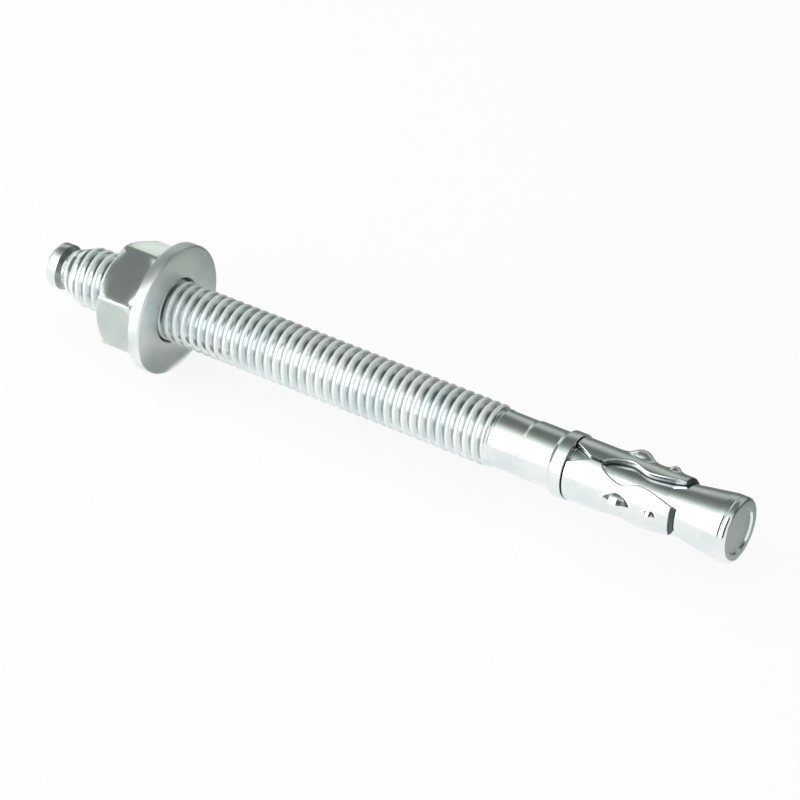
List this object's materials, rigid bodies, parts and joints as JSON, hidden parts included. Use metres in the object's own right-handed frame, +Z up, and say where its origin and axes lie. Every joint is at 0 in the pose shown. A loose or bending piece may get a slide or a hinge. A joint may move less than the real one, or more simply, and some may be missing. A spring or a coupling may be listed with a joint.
{
  "type": "wedge anchor",
  "caption": "Zinc-plated steel through bolt for concrete: threaded stud with hexagon nut and washer, and an expansion clip round the neck of a tapered cone.",
  "frame": {"origin": "on the stud's axis, in the plane of the washer's clamping face, with the nut and washer where they stand in use before tightening", "axes": "+X along the stud, out of the clamping face and into the drilled hole, from the drive tip to the expansion cone; +Y across it, level; +Z up, with the anchor lying on its side"},
  "size_m": [0.0988, 0.017, 0.017],
  "materials": {
    "stud_zinc": "bright zinc plating over cold-formed and rolled steel",
    "nut_zinc": "bright zinc plating, slightly grey on the pressed flats",
    "washer_zinc": "bright zinc plating over a stamped ring",
    "clip_zinc": "bright zinc plating over pressed and rolled sheet"
  },
  "bodies": {
    "stud": {"anchor_stud": "stud_zinc"},
    "washer": {"flat_washer": "washer_zinc"},
    "nut": {"hex_nut": "nut_zinc"},
    "clip": {"expansion_clip": "clip_zinc"}
  },
  "joints": [
    {"name": "nut_turn", "type": "hinge", "parent": "washer", "child": "nut", "pos_m": [0, 0, 0], "axis": [1, 0, 0], "range_deg": [-1800, 13680]},
    {"name": "nut_advance", "type": "slide", "parent": "stud", "child": "washer", "axis": [1, 0, 0], "range_m": [-0.0063, 0.0476]},
    {"name": "clip_turn", "type": "hinge", "parent": "stud", "child": "clip", "pos_m": [0.065, 0, 0], "axis": [1, 0, 0], "continuous": true}
  ],
  "couplings": [
    {"joint": "nut_advance", "follows": "nut_turn", "m_per_rad": 0.00019894}
  ]
}
